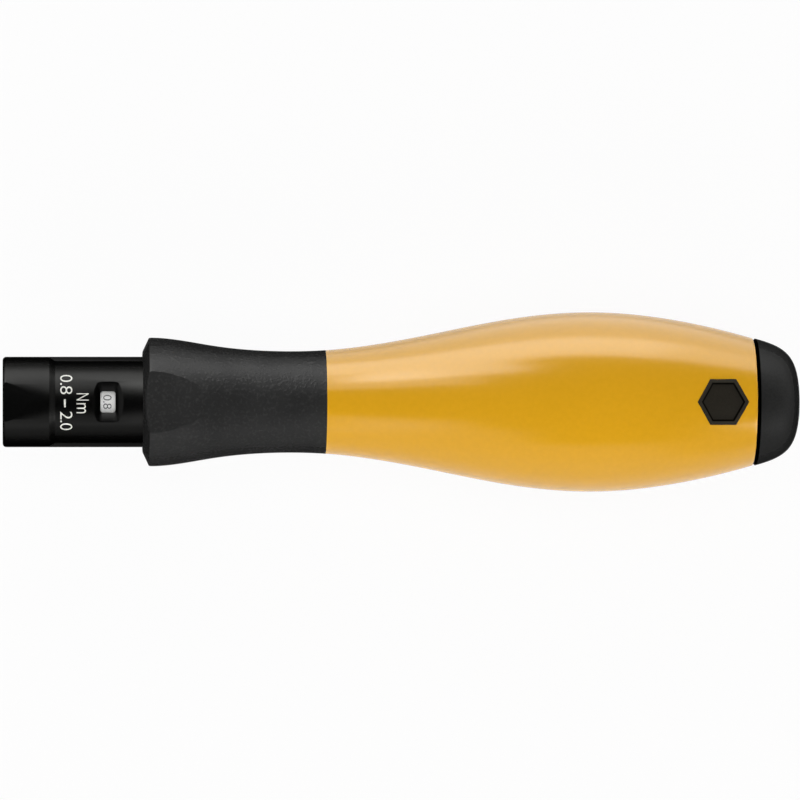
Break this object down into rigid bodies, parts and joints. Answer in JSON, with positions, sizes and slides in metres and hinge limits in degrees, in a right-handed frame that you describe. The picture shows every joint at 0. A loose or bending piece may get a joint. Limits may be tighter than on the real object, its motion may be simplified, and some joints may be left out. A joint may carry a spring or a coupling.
{
  "type": "torque screwdriver",
  "caption": "Adjustable torque screwdriver handle with a hex blade socket, a scale window in the nose, a soft front grip and a click-over clutch inside.",
  "frame": {"origin": "centre of the nose face, on the tool axis, at the mouth of the blade socket", "axes": "+X along the tool axis from the nose to the end cap, +Z out of the display side, +Y to complete the frame"},
  "size_m": [0.1326, 0.03, 0.03],
  "materials": {
    "black_anodised": "black anodised, satin",
    "grip_rubber": "matt soft plastic with a fine grain",
    "yellow_plastic": "smooth moulded, semi-gloss",
    "black_plastic": "moulded, semi-matt",
    "core_plastic": "moulded, hidden",
    "clear_pane": "clear moulded pane",
    "scale_white": "white with printed numbers",
    "steel": "turned and ground",
    "dark_steel": "hardened, oiled",
    "bronze": "sintered bearing bronze",
    "nylon": "plain"
  },
  "bodies": {
    "handle": {"nose_barrel": "black_anodised", "window_lens": "clear_pane", "front_bush": "bronze", "rear_plug": "black_anodised", "lock_pin": "dark_steel", "handle_core": "core_plastic", "handle_shell": "yellow_plastic", "front_grip": "grip_rubber", "hex_badge": "black_plastic", "end_cap": "black_plastic", "torque_spring": "dark_steel"},
    "spindle": {"drive_spindle": "steel", "clutch_shaft": "steel", "shaft_pin": "dark_steel", "blade_clip": "dark_steel", "cam_ring": "steel", "shaft_nut": "steel", "tail_washer": "nylon"},
    "plate": {"pressure_plate": "steel"},
    "screw": {"adjusting_screw": "dark_steel"},
    "nut": {"adjusting_nut": "bronze"},
    "scale": {"scale_sleeve": "scale_white", "thrust_washer": "steel"}
  },
  "joints": [
    {"name": "clutch_lift", "type": "slide", "parent": "handle", "child": "plate", "axis": [-1, 0, 0], "range_m": [0, 0.00117], "stiffness_N_per_m": 400, "springref_m": -0.01, "deforming": ["torque_spring"]},
    {"name": "clutch_slip", "type": "hinge", "parent": "handle", "child": "spindle", "pos_m": [0, 0, 0], "axis": [1, 0, 0], "range_deg": [0, 28]},
    {"name": "nut_travel", "type": "slide", "parent": "spindle", "child": "nut", "axis": [1, 0, 0], "range_m": [0, 0.0135]},
    {"name": "torque_setting", "type": "hinge", "parent": "spindle", "child": "screw", "pos_m": [0, 0, 0], "axis": [1, 0, 0], "range_deg": [0, 3240]},
    {"name": "scale_travel", "type": "slide", "parent": "handle", "child": "scale", "axis": [1, 0, 0], "range_m": [0, 0.01351]}
  ],
  "couplings": [
    {"joint": "clutch_slip", "follows": "clutch_lift", "rad_per_m": 418.88},
    {"joint": "torque_setting", "follows": "nut_travel", "rad_per_m": 4188.8},
    {"joint": "scale_travel", "follows": "nut_travel", "ratio": 1}
  ]
}
